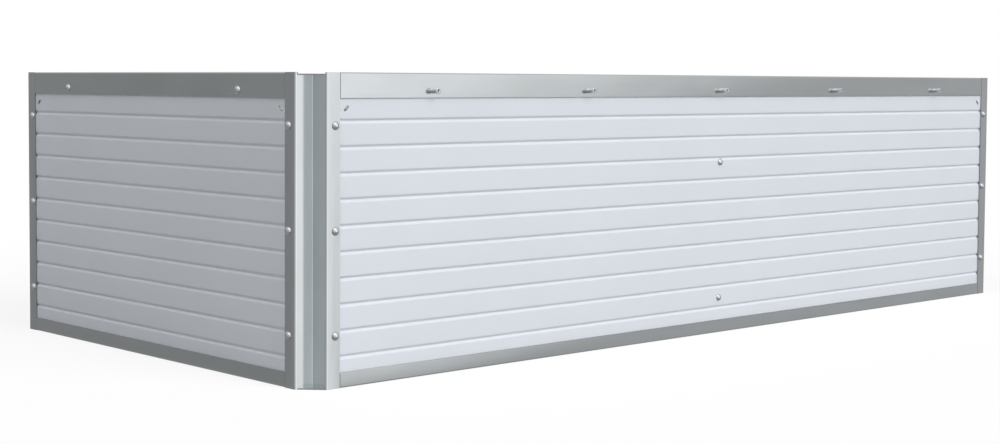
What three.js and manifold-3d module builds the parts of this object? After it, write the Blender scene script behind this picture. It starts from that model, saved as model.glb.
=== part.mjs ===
// Raised garden bed: a bottomless box of ribbed sheet walls, held by four notched corner posts.
// Millimetres, +Z up. The origin lies on the ground under the middle of the bed.
// +X runs along the long walls, and the front long wall faces -Y.

import * as THREE from 'three';
import { mergeVertices } from 'three/addons/utils/BufferGeometryUtils.js';
import Module from 'manifold-3d';

const wasm = await Module();
wasm.setup();

// ---------------------------------------------------------------- driving dimensions

// Whole bed, outside the walls
const bedLength = 2000;
const bedWidth = 935;
const bedHeight = 500;

// Sheet thicknesses
const postSheet = 2;
const panelSheet = 1;
const capSheet = 1.5;
const railSheet = 1.5;
const stiffenerSheet = 1.5;

// Clearances
const seatGap = 0.3;       // between pieces that seat on each other
const jointGap = 1;        // open joint where a cap or a rail meets a post
const panelEndGap = 2;     // between a panel's end and the post's notch face
const boltClearance = 0.5; // round a bolt, in the sheets that it passes

// Corner posts
const notchDepth = 35;
const notchLean = THREE.MathUtils.degToRad(6); // of each notch face, open from a square corner
const postFlange = 27;
const postStep = 2.5;      // how far the notch faces stop below the flanges
const bendRadius = 1;      // inside radius of every sharp fold

// Ribbed wall panels
const panelReturn = 25;    // width of the fold along the top and bottom edges
const panelLip = 12;       // turned edge of that fold
const grooveDepth = 2.5;
const grooveHeight = 8.8;
const groovePitch = 41.55;
const firstGroove = 49;    // height of the lowest groove
const grooveMargin = 30;   // least distance from the top groove to the cap
const grooveRadius = 1.5;
const slotLength = 12;     // oblique slots near the panel's top corners
const slotWidth = 5;
const slotInset = 14;      // from the post's flange
const slotDrop = 16.5;     // from the cap
const slotTilt = Math.PI / 4;

// Top caps and bottom rails
const channelDepth = 32;
const capHeight = 40.5;
const capInnerLeg = 18;
const railHeight = 25;
const railInnerLeg = 12;

// Bolts with domed heads
const boltRadius = 3;
const headRadius = 7;
const headHeight = 5;
const collarWall = 0.3;    // wall of the nut's collar, round the bolt
const nutWidth = 10;
const nutHeight = 5;
const boltEnd = 2;         // bolt that stands out of the nut

// Places of the bolts
const postBoltInset = 18;  // from the notch to the bolts of a post's flange
const postBoltMargin = 84; // from the top and the bottom to the outer bolts
const capBoltSpacing = 552;
const capBoltDrop = 29;    // from the bed's top to the bolts and studs of a cap
const tieHeights = { lower: 68, upper: 332 };

// Headed studs on the long caps
const studCount = 5;
const studSpacing = 372;
const studLength = 14;
const studShankRadius = 4.25;
const studHeadRadius = 5;
const studHeadHeight = 5;
const studChamfer = 0.6;
const studSocketRadius = 2.3;
const studSocketDepth = 3;

// Middle stiffeners and cross ties
const stiffenerWidth = 50;
const stiffenerDepth = 18;
const tieRadius = 10;
const tieWall = 2;
const tieBushLength = 25;
const tieScrewGrip = 18;   // how far a screw reaches into a tie

// Facets
const roundSides = 8;
const holeSides = 8;
const tieSides = 16;
const domeSteps = 3;
const bendStep = Math.PI / 4; // angle that one facet of a bend turns, about

// ---------------------------------------------------------------- places that follow

const postReach = notchDepth + postSheet;
const postBendOutside = bendRadius + postSheet;
const channelEndInset = postReach + jointGap;
const channelLegInset = notchDepth + postFlange + jointGap;
const panelEndInset = postReach + panelEndGap;
const panelFace = postSheet + seatGap;
const panelBack = panelFace + panelSheet;
const grooveBack = panelBack + grooveDepth;
const panelTop = bedHeight - capSheet - seatGap;
const panelBottom = railSheet + seatGap;
const stiffenerFace = grooveBack + seatGap;
const stiffenerBack = stiffenerFace + stiffenerSheet;
const tieInset = stiffenerBack + seatGap;
const holeRadius = (boltRadius + boltClearance) / Math.cos(Math.PI / holeSides);
const cutMargin = 1;       // how far a cutter reaches past what it cuts

const postBoltHeights = {
  low: postBoltMargin,
  middle: bedHeight / 2,
  high: bedHeight - postBoltMargin,
};
const capBoltHeight = bedHeight - capBoltDrop;

// ---------------------------------------------------------------- finishes

const finishes = {
  frame: { color: 0xa9adae, roughness: 0.35, metalness: 0.85 },
  panel: { color: 0xd5d8dd, roughness: 0.55, metalness: 0.3 },
  bolt: { color: 0xc4c8ca, roughness: 0.25, metalness: 0.95 },
  inner: { color: 0x9ea3a5, roughness: 0.5, metalness: 0.8 },
};

// ---------------------------------------------------------------- solids

function solid(geometry) {
  const bare = geometry.clone();
  bare.deleteAttribute('normal');
  bare.deleteAttribute('uv');
  const merged = mergeVertices(bare);
  return new wasm.Manifold(new wasm.Mesh({
    numProp: 3,
    vertProperties: new Float32Array(merged.attributes.position.array),
    triVerts: new Uint32Array(merged.index.array),
  }));
}

function geometryOf(body) {
  const mesh = body.getMesh();
  const geometry = new THREE.BufferGeometry();
  geometry.setAttribute('position', new THREE.BufferAttribute(mesh.vertProperties, 3));
  geometry.setIndex(new THREE.BufferAttribute(mesh.triVerts, 1));
  geometry.computeVertexNormals();
  return geometry;
}

function piece(name, body, finish) {
  const mesh = new THREE.Mesh(geometryOf(body), new THREE.MeshStandardMaterial(finishes[finish]));
  mesh.name = name;
  return mesh;
}

// A box from one corner to the other
function block(low, high) {
  const [x, y, z] = high.map((value, axis) => value - low[axis]);
  const [cx, cy, cz] = high.map((value, axis) => (value + low[axis]) / 2);
  return solid(new THREE.BoxGeometry(x, y, z).translate(cx, cy, cz));
}

// A round or many-sided bar along Y, between two depths
function bar(radius, from, to, sides, x = 0, z = 0) {
  const cylinder = new THREE.CylinderGeometry(radius, radius, to - from, sides);
  return solid(cylinder.translate(x, (from + to) / 2, z));
}

// A shape turned about the Y axis; each point is [radius, depth]
function turned(points, sides) {
  const profile = points.map(([radius, depth]) => new THREE.Vector2(radius, depth));
  return solid(new THREE.LatheGeometry(profile, sides));
}

// The outline of a sheet that is folded along the corners of its middle line. The bend at each
// corner is round, and a corner may name its own inside radius as a third value.
function foldedSheet(corners, sheet) {
  const half = sheet / 2;
  const points = corners.map(([x, y]) => new THREE.Vector2(x, y));
  const runs = points.slice(1).map((point, i) => point.clone().sub(points[i]).normalize());
  const left = [];
  const right = [];
  const addPair = (middle, run) => {
    const normal = new THREE.Vector2(-run.y, run.x);
    left.push(middle.clone().addScaledVector(normal, half));
    right.unshift(middle.clone().addScaledVector(normal, -half));
  };
  points.forEach((point, i) => {
    const before = runs[i - 1];
    const after = runs[i];
    if (!before || !after) {
      addPair(point, before ?? after);
      return;
    }
    const radius = (corners[i][2] ?? bendRadius) + half;
    const turn = Math.atan2(before.cross(after), before.dot(after));
    const side = Math.sign(turn);
    const start = point.clone().addScaledVector(before, -radius * Math.tan(Math.abs(turn) / 2));
    const normal = new THREE.Vector2(-before.y, before.x);
    const centre = start.clone().addScaledVector(normal, side * radius);
    const steps = Math.max(1, Math.round(Math.abs(turn) / bendStep));
    for (let step = 0; step <= steps; step++) {
      const run = before.clone().rotateAround(new THREE.Vector2(), turn * step / steps);
      const inward = new THREE.Vector2(-run.y, run.x);
      addPair(centre.clone().addScaledVector(inward, -side * radius), run);
    }
  });
  return new THREE.Shape([...left, ...right]);
}

// A section drawn in plan and drawn out upwards
function upright(shape, bottom, top) {
  const settings = { depth: top - bottom, bevelEnabled: false };
  return solid(new THREE.ExtrudeGeometry(shape, settings).translate(0, 0, bottom));
}

// A section drawn as [depth into the bed, height] and drawn out along a wall
function alongWall(shape, length) {
  const geometry = new THREE.ExtrudeGeometry(shape, { depth: length, bevelEnabled: false });
  const toWall = new THREE.Matrix4().makeBasis(
    new THREE.Vector3(0, 1, 0),
    new THREE.Vector3(0, 0, 1),
    new THREE.Vector3(1, 0, 0),
  );
  return solid(geometry.applyMatrix4(toWall).translate(-length / 2, 0, 0));
}

// Round holes through the sheets of a wall; each place is [along the wall, height]
function withBoltHoles(body, places) {
  const end = stiffenerBack + cutMargin;
  return places.reduce(
    (rest, [x, z]) => rest.subtract(bar(holeRadius, -cutMargin, end, holeSides, x, z)),
    body,
  );
}

// An oblique slot through a panel, rising towards the wall's middle
function slotCutter(x, z) {
  const radius = slotWidth / 2;
  const half = slotLength / 2 - radius;
  const outline = new THREE.Shape()
    .absarc(half, 0, radius, -Math.PI / 2, Math.PI / 2)
    .absarc(-half, 0, radius, Math.PI / 2, 3 * Math.PI / 2);
  const depth = panelSheet + 2 * cutMargin;
  const settings = { depth, bevelEnabled: false, curveSegments: holeSides / 2 };
  const geometry = new THREE.ExtrudeGeometry(outline, settings)
    .rotateZ(-Math.sign(x) * slotTilt)
    .rotateX(Math.PI / 2)
    .translate(x, panelBack + cutMargin, z);
  return solid(geometry);
}

// ---------------------------------------------------------------- corner posts

// The post's outer corner would stand at the plan's origin; its flanges lie along X and Y.

// How deep the middle of the sheet lies in the notch, so far from a flange's face
function notchReach(away) {
  const face = postSheet / 2;
  return notchDepth + face - (away - face) * Math.tan(notchLean);
}

// The middle of the sheet at the notch's inner corner, where both leaning faces meet
function notchCorner() {
  const face = postSheet / 2;
  const lean = Math.tan(notchLean);
  return (notchDepth + face + face * lean) / (1 + lean);
}

function postSection() {
  const face = postSheet / 2;
  const edge = notchDepth + postFlange;
  const corner = notchDepth + face;
  const inner = notchCorner();
  return foldedSheet([[edge, face], [corner, face], [inner, inner], [face, corner], [face, edge]],
    postSheet);
}

// The tab that is folded across the notch
function notchTab(bottom) {
  const end = notchReach(postBendOutside);
  const tab = new THREE.Shape([
    new THREE.Vector2(end, postBendOutside),
    new THREE.Vector2(notchCorner(), notchCorner()),
    new THREE.Vector2(postBendOutside, end),
  ]);
  return upright(tab, bottom, bottom + postSheet);
}

function cornerPost() {
  const notchTop = bedHeight - postStep;
  const stepEnd = postReach + cutMargin;
  const step = block([postBendOutside, postBendOutside, notchTop],
    [stepEnd, stepEnd, bedHeight + cutMargin]);
  let post = upright(postSection(), 0, bedHeight)
    .subtract(step)
    .add(notchTab(0))
    .add(notchTab(notchTop - postSheet));
  const reach = notchDepth + postBoltInset;
  for (const height of Object.values(postBoltHeights)) {
    const hole = bar(holeRadius, -cutMargin, postBendOutside, holeSides, reach, height);
    const mirrored = hole.rotate([0, 0, 90]).mirror([1, 0, 0]);
    post = post.subtract(hole).subtract(mirrored);
  }
  return post;
}

// ---------------------------------------------------------------- wall pieces
// A wall stands in its own frame: X along it from its middle, Y into the bed from the outer face.

function grooveHeights() {
  const highest = bedHeight - capHeight - grooveMargin;
  const count = Math.floor((highest - firstGroove) / groovePitch) + 1;
  return Array.from({ length: count }, (_, i) => firstGroove + i * groovePitch);
}

function panelSection() {
  const middle = panelFace + panelSheet / 2;
  const inner = middle + panelReturn;
  const top = panelTop - panelSheet / 2;
  const bottom = panelBottom + panelSheet / 2;
  const grooves = grooveHeights().flatMap((height) => [
    [middle, height - grooveHeight / 2, grooveRadius],
    [middle + grooveDepth, height, grooveRadius],
    [middle, height + grooveHeight / 2, grooveRadius],
  ]);
  return foldedSheet([
    [inner, bottom + panelLip],
    [inner, bottom],
    [middle, bottom],
    ...grooves,
    [middle, top],
    [inner, top],
    [inner, top - panelLip],
  ], panelSheet);
}

function wallPanel(span, holes) {
  const sheet = alongWall(panelSection(), span - 2 * panelEndInset);
  const along = span / 2 - notchDepth - postFlange - slotInset;
  const height = bedHeight - capHeight - slotDrop;
  return withBoltHoles(sheet, holes)
    .subtract(slotCutter(-along, height))
    .subtract(slotCutter(along, height));
}

// A channel that runs behind the post flanges, with its outer leg cut short between them
function wallChannel(section, span) {
  const end = span / 2;
  const low = [end - channelLegInset, -cutMargin, -cutMargin];
  const high = [end, panelFace, bedHeight + cutMargin];
  const legCut = block(low, high);
  return alongWall(section, span - 2 * channelEndInset)
    .subtract(legCut)
    .subtract(legCut.mirror([1, 0, 0]));
}

function capSection() {
  const face = capSheet / 2;
  const inner = channelDepth - face;
  const top = bedHeight - face;
  return foldedSheet([
    [face, bedHeight - capHeight],
    [face, top],
    [inner, top],
    [inner, bedHeight - capInnerLeg],
  ], capSheet);
}

function railSection() {
  const face = railSheet / 2;
  const inner = channelDepth - face;
  return foldedSheet([[face, railHeight], [face, face], [inner, face], [inner, railInnerLeg]],
    railSheet);
}

// A headed stud that is pressed into the cap's outer leg, with a socket in its end
function capStud() {
  const end = -studLength;
  const neck = end + studHeadHeight;
  return turned([
    [0, end + studSocketDepth],
    [studSocketRadius, end + studSocketDepth],
    [studSocketRadius, end],
    [studHeadRadius - studChamfer, end],
    [studHeadRadius, end + studChamfer],
    [studHeadRadius, neck],
    [studShankRadius, neck],
    [studShankRadius, capSheet],
    [0, capSheet],
  ], roundSides);
}

function studPlaces() {
  return Array.from({ length: studCount }, (_, i) => (i - (studCount - 1) / 2) * studSpacing);
}

function studdedCap(span) {
  return studPlaces().reduce(
    (cap, x) => cap.add(capStud().translate([x, 0, capBoltHeight])),
    wallChannel(capSection(), span),
  );
}

function stiffener() {
  const web = stiffenerFace + stiffenerSheet / 2;
  const leg = stiffenerWidth / 2 - stiffenerSheet / 2;
  const edge = stiffenerFace + stiffenerDepth;
  const section = foldedSheet([[-leg, edge], [-leg, web], [leg, web], [leg, edge]], stiffenerSheet);
  const bottom = panelBottom + panelSheet + seatGap;
  const top = panelTop - panelSheet - seatGap;
  const holes = Object.values(tieHeights).map((height) => [0, height]);
  return withBoltHoles(upright(section, bottom, top), holes);
}

// A tube across the bed, with a bored bush in each end for its screws
function crossTie() {
  const half = bedWidth / 2 - tieInset;
  const bush = half - tieBushLength;
  const bore = boltRadius + boltClearance;
  return turned([
    [bore, -half],
    [tieRadius, -half],
    [tieRadius, half],
    [bore, half],
    [bore, bush],
    [tieRadius - tieWall, bush],
    [tieRadius - tieWall, -bush],
    [bore, -bush],
    [bore, -half],
  ], tieSides);
}

// ---------------------------------------------------------------- bolts

// The domed head, from its middle to its rim, standing on the depth of its seat
function dome(seat) {
  const sphere = (headRadius ** 2 + headHeight ** 2) / (2 * headHeight);
  const spread = Math.asin(headRadius / sphere);
  return Array.from({ length: domeSteps + 1 }, (_, step) => {
    const angle = spread * step / domeSteps;
    return [sphere * Math.sin(angle), seat - headHeight + sphere * (1 - Math.cos(angle))];
  });
}

// A bolt for two sheets of a wall, with a nut whose collar keeps it clear of the panel's grooves
function sheetBolt() {
  const collar = boltRadius + collarWall;
  const nutSeat = grooveBack + seatGap;
  const nutMiddle = nutSeat + nutHeight / 2;
  const nutEnd = nutSeat + nutHeight;
  const shank = turned([
    ...dome(-seatGap),
    [boltRadius, -seatGap],
    [boltRadius, panelBack + seatGap],
    [collar, panelBack + seatGap],
    [collar, nutMiddle],
    [boltRadius, nutMiddle],
    [boltRadius, nutEnd + boltEnd],
    [0, nutEnd + boltEnd],
  ], roundSides);
  const hexRadius = nutWidth / Math.sqrt(3);
  return shank.add(bar(hexRadius, nutSeat, nutEnd, 6));
}

// A screw through a panel and its stiffener into the end of a tie
function tieScrew() {
  const seat = panelFace - seatGap;
  const end = tieInset + tieScrewGrip;
  return turned([...dome(seat), [boltRadius, seat], [boltRadius, end], [0, end]], roundSides);
}

// ---------------------------------------------------------------- the bed

const quarterTurn = Math.PI / 2;

const longWall = { span: bedLength, reach: bedWidth / 2, addPieces: addLongWall };
const shortWall = { span: bedWidth, reach: bedLength / 2, addPieces: addShortWall };

const walls = [
  { ...longWall, name: 'front', ends: ['front_left', 'front_right'] },
  { ...shortWall, name: 'right', ends: ['front_right', 'back_right'] },
  { ...longWall, name: 'back', ends: ['back_right', 'back_left'] },
  { ...shortWall, name: 'left', ends: ['back_left', 'front_left'] },
];

const corners = [
  { name: 'front_left', x: -bedLength / 2, y: -bedWidth / 2 },
  { name: 'front_right', x: bedLength / 2, y: -bedWidth / 2 },
  { name: 'back_right', x: bedLength / 2, y: bedWidth / 2 },
  { name: 'back_left', x: -bedLength / 2, y: bedWidth / 2 },
];

function postBoltPlaces(span) {
  const along = span / 2 - notchDepth - postBoltInset;
  return [-along, along].map((x) =>
    Object.entries(postBoltHeights).map(([level, height]) => ({ x, level, height })));
}

function placed(mesh, x, z) {
  mesh.position.set(x, 0, z);
  return mesh;
}

function addPostBolts(group, wall) {
  postBoltPlaces(wall.span).forEach((bolts, end) => {
    for (const { x, level, height } of bolts) {
      const name = `${wall.ends[end]}_post_bolt_${wall.name}_${level}`;
      group.add(placed(piece(name, sheetBolt(), 'bolt'), x, height));
    }
  });
}

function addLongWall(group, wall, holes) {
  const tieHoles = Object.values(tieHeights).map((height) => [0, height]);
  group.add(piece(`${wall.name}_panel`, wallPanel(wall.span, [...holes, ...tieHoles]), 'panel'));
  group.add(piece(`${wall.name}_cap`, studdedCap(wall.span), 'frame'));
  group.add(piece(`${wall.name}_stiffener`, stiffener(), 'inner'));
  for (const [level, height] of Object.entries(tieHeights)) {
    const screw = piece(`${wall.name}_tie_screw_${level}`, tieScrew(), 'bolt');
    group.add(placed(screw, 0, height));
  }
}

function addShortWall(group, wall, holes) {
  const half = capBoltSpacing / 2;
  const places = wall.ends.map((end, i) => ({ end, x: i ? half : -half }));
  const capHoles = places.map(({ x }) => [x, capBoltHeight]);
  const cap = withBoltHoles(wallChannel(capSection(), wall.span), capHoles);
  group.add(piece(`${wall.name}_panel`, wallPanel(wall.span, [...holes, ...capHoles]), 'panel'));
  group.add(piece(`${wall.name}_cap`, cap, 'frame'));
  for (const { end, x } of places) {
    const bolt = piece(`${wall.name}_cap_bolt_${end}`, sheetBolt(), 'bolt');
    group.add(placed(bolt, x, capBoltHeight));
  }
}

function buildWall(wall, turn) {
  const group = new THREE.Group();
  const holes = postBoltPlaces(wall.span).flat().map(({ x, height }) => [x, height]);
  wall.addPieces(group, wall, holes);
  group.add(piece(`${wall.name}_rail`, wallChannel(railSection(), wall.span), 'frame'));
  addPostBolts(group, wall);
  group.rotation.z = turn * quarterTurn;
  const outward = new THREE.Vector3(0, -wall.reach, 0);
  group.position.copy(outward.applyAxisAngle(new THREE.Vector3(0, 0, 1), group.rotation.z));
  return group;
}

const bed = new THREE.Group();

corners.forEach(({ name, x, y }, turn) => {
  const post = piece(`${name}_post`, cornerPost(), 'frame');
  post.rotation.z = turn * quarterTurn;
  post.position.set(x, y, 0);
  bed.add(post);
});

walls.forEach((wall, turn) => bed.add(buildWall(wall, turn)));

for (const [level, height] of Object.entries(tieHeights)) {
  bed.add(placed(piece(`tie_${level}`, crossTie(), 'inner'), 0, height));
}

export default bed;
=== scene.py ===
"""The finish of a raised garden bed: folded corner posts, roll-formed wall panels, caps and rails,
bolts and studs, in metres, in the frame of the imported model."""

import math

import bmesh
import bpy
from mathutils import Matrix, Vector


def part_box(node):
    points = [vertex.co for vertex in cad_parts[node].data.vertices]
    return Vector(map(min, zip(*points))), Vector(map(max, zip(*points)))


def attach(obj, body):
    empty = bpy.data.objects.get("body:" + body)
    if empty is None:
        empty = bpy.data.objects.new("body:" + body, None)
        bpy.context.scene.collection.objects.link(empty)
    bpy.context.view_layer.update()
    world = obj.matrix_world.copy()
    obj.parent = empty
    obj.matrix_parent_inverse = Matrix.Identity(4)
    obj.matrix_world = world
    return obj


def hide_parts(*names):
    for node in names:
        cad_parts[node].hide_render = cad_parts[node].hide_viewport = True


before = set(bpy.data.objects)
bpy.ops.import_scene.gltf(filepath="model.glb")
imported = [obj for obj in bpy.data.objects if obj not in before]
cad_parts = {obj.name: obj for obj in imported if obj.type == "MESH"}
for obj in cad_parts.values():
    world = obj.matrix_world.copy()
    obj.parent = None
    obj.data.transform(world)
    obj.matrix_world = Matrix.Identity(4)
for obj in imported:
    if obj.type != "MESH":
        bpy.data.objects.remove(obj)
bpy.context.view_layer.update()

MM = 0.001

# ---------------------------------------------------------------- sizes

# Sheets and their folds
POST_SHEET = 2 * MM
PANEL_SHEET = 1 * MM
CHANNEL_SHEET = 1.5 * MM
INSIDE_BEND = 1 * MM
BEND_STEPS = 8
SHARP_ANGLE = math.radians(35)
SEAT_GAP = 0.3 * MM

# Corner posts
NOTCH_DEPTH = 35 * MM
NOTCH_LEAN = math.radians(2)
POST_STEP = 2.5 * MM

# Roll-formed panels
PANEL_LIP = 12 * MM
GROOVE_DEPTH = 2.5 * MM
GROOVE_HEIGHT = 8.8 * MM
GROOVE_PITCH = 41.55 * MM
FIRST_GROOVE = 49 * MM
GROOVE_COUNT = 10
GROOVE_ROUNDING = 0.8       # the power of a raised cosine that gives a V with a round bottom
RIB_CROWN = 0.3 * MM
PROFILE_STEP = 0.5 * MM
SLOT_LENGTH = 12 * MM
SLOT_WIDTH = 5 * MM
SLOT_INSET = 14 * MM
SLOT_DROP = 16.5 * MM
SLOT_TILT = math.radians(45)
SLOT_STEPS = 8

# Inner legs of the channels
CAP_INNER_LEG = 18 * MM
RAIL_INNER_LEG = 12 * MM
END_TRIM_START = 6 * MM
END_TRIM_LENGTH = 35 * MM

# Bolts, screws and studs
BOLT_RADIUS = 3 * MM
BOLT_CLEARANCE = 0.5 * MM
BORE_RADIUS = BOLT_RADIUS + BOLT_CLEARANCE
BORE_SIDES = 24
HEAD_RADIUS = 7 * MM
HEAD_HEIGHT = 5 * MM
HEAD_EDGE = 0.5 * MM
DOME_STEPS = 10
COLLAR_RADIUS = 3.3 * MM
NUT_FLATS = 10 * MM
NUT_HEIGHT = 5 * MM
NUT_CHAMFER = 0.6 * MM
NUT_FACE = 0.95             # the radius of its flat end, as a share of the distance to a side
CHAMFER_STEPS = 4
THREAD_PITCH = 1 * MM
THREAD_DEPTH = 0.55 * MM
THREAD_ROWS = 6
BOLT_END = 2 * MM
SCREW_THREAD = 10 * MM
STUD_SHANK = 4.25 * MM
STUD_HEAD = 5 * MM
STUD_HEAD_HEIGHT = 5 * MM
STUD_CHAMFER = 0.6 * MM
STUD_FILLET = 0.6 * MM
SOCKET_FLATS = 4 * MM
SOCKET_DEPTH = 3 * MM
SOCKET_CHAMFER = 0.3 * MM
STUD_COUNT = 5
STUD_SPACING = 372 * MM
CAP_BOLT_DROP = 29 * MM

# Cross ties
TIE_WALL = 2 * MM
TIE_BUSH = 25 * MM
TIE_CHAMFER = 0.5 * MM

TURNED_SIDES = 48
CUT_MARGIN = 1 * MM
WELD = 0.001 * MM
NEAR_ONE = 0.9              # over this a side mark is that of the back, and a normal is upright

# ---------------------------------------------------------------- places that follow from the frame

post_low, post_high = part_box("front_left_post")
cap_low, cap_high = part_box("right_cap")
rail_low, rail_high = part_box("front_rail")
panel_low, panel_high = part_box("front_panel")
stiffener_low, stiffener_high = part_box("front_stiffener")
tie_low, tie_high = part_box("tie_lower")
stud_low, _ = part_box("front_cap")

BED_LENGTH = -2 * post_low.x
BED_WIDTH = -2 * post_low.y
BED_HEIGHT = post_high.z
POST_EDGE = post_high.x - post_low.x
POST_REACH = NOTCH_DEPTH + POST_SHEET
POST_BEND = INSIDE_BEND + POST_SHEET
CAP_HEIGHT = cap_high.z - cap_low.z
CHANNEL_DEPTH = rail_high.y - rail_low.y
RAIL_HEIGHT = rail_high.z
CHANNEL_INSET = BED_LENGTH / 2 - rail_high.x
PANEL_INSET = BED_LENGTH / 2 - panel_high.x
PANEL_FACE = POST_SHEET + SEAT_GAP
PANEL_BACK = PANEL_FACE + PANEL_SHEET
PANEL_DEPTH = BED_WIDTH / 2 + panel_high.y
GROOVE_BACK = PANEL_BACK + GROOVE_DEPTH
STIFFENER_FACE = BED_WIDTH / 2 + stiffener_low.y
STIFFENER_EDGE = BED_WIDTH / 2 + stiffener_high.y
STUD_END = BED_WIDTH / 2 + stud_low.y
TIE_RADIUS = (tie_high.x - tie_low.x) / 2
TIE_END = tie_high.y

# The open joints beside the posts show on the long walls, and are all but closed on the short ones
LONG_JOINT = 1 * MM
SHORT_JOINT = 0.3 * MM
LONG_WALL = {"span": BED_LENGTH, "reach": BED_WIDTH / 2, "joint": LONG_JOINT}
SHORT_WALL = {"span": BED_WIDTH, "reach": BED_LENGTH / 2, "joint": SHORT_JOINT}
WALLS = [
    {"name": "front", "turn": 0, **LONG_WALL},
    {"name": "right", "turn": 1, **SHORT_WALL},
    {"name": "back", "turn": 2, **LONG_WALL},
    {"name": "left", "turn": 3, **SHORT_WALL},
]
LONG_WALLS = [wall for wall in WALLS if wall["span"] == BED_LENGTH]
CORNERS = ["front_left", "front_right", "back_right", "back_left"]


def turned_by(quarters):
    return Matrix.Rotation(quarters * math.pi / 2, 4, "Z")


def wall_frame(wall):
    """From the wall's own frame, X along it and Y into the bed from its outer face, to the bed's."""
    return turned_by(wall["turn"]) @ Matrix.Translation((0, -wall["reach"], 0))


def corner_frame(quarters):
    reach = (BED_LENGTH / 2, BED_WIDTH / 2)
    x, y = [(-1, -1), (1, -1), (1, 1), (-1, 1)][quarters]
    return Matrix.Translation((x * reach[0], y * reach[1], 0)) @ turned_by(quarters)


# ---------------------------------------------------------------- nodes and materials


def add(tree, kind, inputs=None, **settings):
    """Adds a node; an input is another node's output or a plain value."""
    node = tree.nodes.new(kind)
    for name, value in settings.items():
        setattr(node, name, value)
    for key, value in (inputs or {}).items():
        if isinstance(value, bpy.types.NodeSocket):
            tree.links.new(value, node.inputs[key])
        else:
            node.inputs[key].default_value = value
    return node


def linear(hex_colour):
    """The linear RGBA of an sRGB colour written as rrggbb."""
    channels = [int(hex_colour[i:i + 2], 16) / 255 for i in (0, 2, 4)]
    return [c / 12.92 if c <= 0.04045 else ((c + 0.055) / 1.055) ** 2.4 for c in channels] + [1]


def new_material(name):
    material = bpy.data.materials.new(name)
    material.use_nodes = True
    tree = material.node_tree
    tree.nodes.clear()
    output = tree.nodes.new("ShaderNodeOutputMaterial")
    shader = tree.nodes.new("ShaderNodeBsdfPrincipled")
    tree.links.new(shader.outputs["BSDF"], output.inputs["Surface"])
    return material, tree, shader


def stretched_noise(tree, along, across, axis, detail=2):
    """Noise whose grains are as long and as wide as the two sizes, drawn out along one axis."""
    scale = [1 / across] * 3
    scale[axis] = 1 / along
    place = add(tree, "ShaderNodeTexCoord")
    mapped = add(tree, "ShaderNodeMapping", {"Vector": place.outputs["Object"], "Scale": scale})
    return add(tree, "ShaderNodeTexNoise",
               {"Vector": mapped.outputs["Vector"], "Scale": 1, "Detail": detail})


def between(tree, value, low, high, from_low=0.3, from_high=0.7):
    spread = add(tree, "ShaderNodeMapRange", {
        "Value": value, "From Min": from_low, "From Max": from_high, "To Min": low, "To Max": high})
    return spread.outputs["Result"]


def two_tones(tree, value, dark, light, low=0.35, high=0.65):
    ramp = add(tree, "ShaderNodeValToRGB", {"Fac": value})
    first, second = ramp.color_ramp.elements
    first.position, first.color = low, linear(dark)
    second.position, second.color = high, linear(light)
    return ramp.outputs["Color"]


def rolled_zinc(name, axis):
    """Skin-passed zinc-coated sheet steel, folded cold. It reads as a bright, silky grey metal with
    a soft mirror image, very fine lines along the rolling direction and faint clouds of gloss."""
    material, tree, shader = new_material(name)
    clouds = stretched_noise(tree, 160 * MM, 45 * MM, axis, 3).outputs["Fac"]
    # The real rolling lines are some 0.1 mm apart; they are drawn 0.7 mm apart so that they show.
    lines = stretched_noise(tree, 60 * MM, 0.7 * MM, axis).outputs["Fac"]
    bump = add(tree, "ShaderNodeBump", {"Height": lines, "Strength": 0.12, "Distance": 0.02 * MM})
    tree.links.new(two_tones(tree, clouds, "d6dbdd", "dce1e3"), shader.inputs["Base Color"])
    tree.links.new(between(tree, clouds, 0.15, 0.11), shader.inputs["Roughness"])
    tree.links.new(bump.outputs["Normal"], shader.inputs["Normal"])
    shader.inputs["Metallic"].default_value = 1
    return material


def coil_coating():
    """Steel strip coated with matt pale silver polyester before it is roll-formed. It reads as an
    even, slightly cool pale surface with a wide soft sheen and the faint skin of a rolled-on coat."""
    material, tree, shader = new_material("coil_coated_steel")
    skin = stretched_noise(tree, 2.5 * MM, 2.5 * MM, 0).outputs["Fac"]
    clouds = stretched_noise(tree, 240 * MM, 240 * MM, 0, 3).outputs["Fac"]
    bump = add(tree, "ShaderNodeBump", {"Height": skin, "Strength": 0.15, "Distance": 0.03 * MM})
    tree.links.new(two_tones(tree, clouds, "d8dce4", "dadee6"), shader.inputs["Base Color"])
    tree.links.new(between(tree, clouds, 0.52, 0.48), shader.inputs["Roughness"])
    tree.links.new(bump.outputs["Normal"], shader.inputs["Normal"])
    return material


def coil_back_coat():
    """The thin grey coat that the same strip has on its back, which faces the soil. It reads as a
    flat mid grey with the same faint skin."""
    material, tree, shader = new_material("coil_back_coat")
    skin = stretched_noise(tree, 2.5 * MM, 2.5 * MM, 0).outputs["Fac"]
    bump = add(tree, "ShaderNodeBump", {"Height": skin, "Strength": 0.15, "Distance": 0.03 * MM})
    tree.links.new(two_tones(tree, skin, "a3a8aa", "abb0b2"), shader.inputs["Base Color"])
    tree.links.new(bump.outputs["Normal"], shader.inputs["Normal"])
    shader.inputs["Roughness"].default_value = 0.6
    return material


def sheared_edge():
    """The cut edge of the same sheet, where the shears smear the zinc over bare steel. It reads as
    a dull, darker grey line with short marks across the thickness."""
    material, tree, shader = new_material("sheared_zinc_edge")
    marks = stretched_noise(tree, 4 * MM, 0.8 * MM, 2).outputs["Fac"]
    tree.links.new(two_tones(tree, marks, "8f9395", "a6aaac"), shader.inputs["Base Color"])
    tree.links.new(between(tree, marks, 0.5, 0.38), shader.inputs["Roughness"])
    shader.inputs["Metallic"].default_value = 1
    return material


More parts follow.
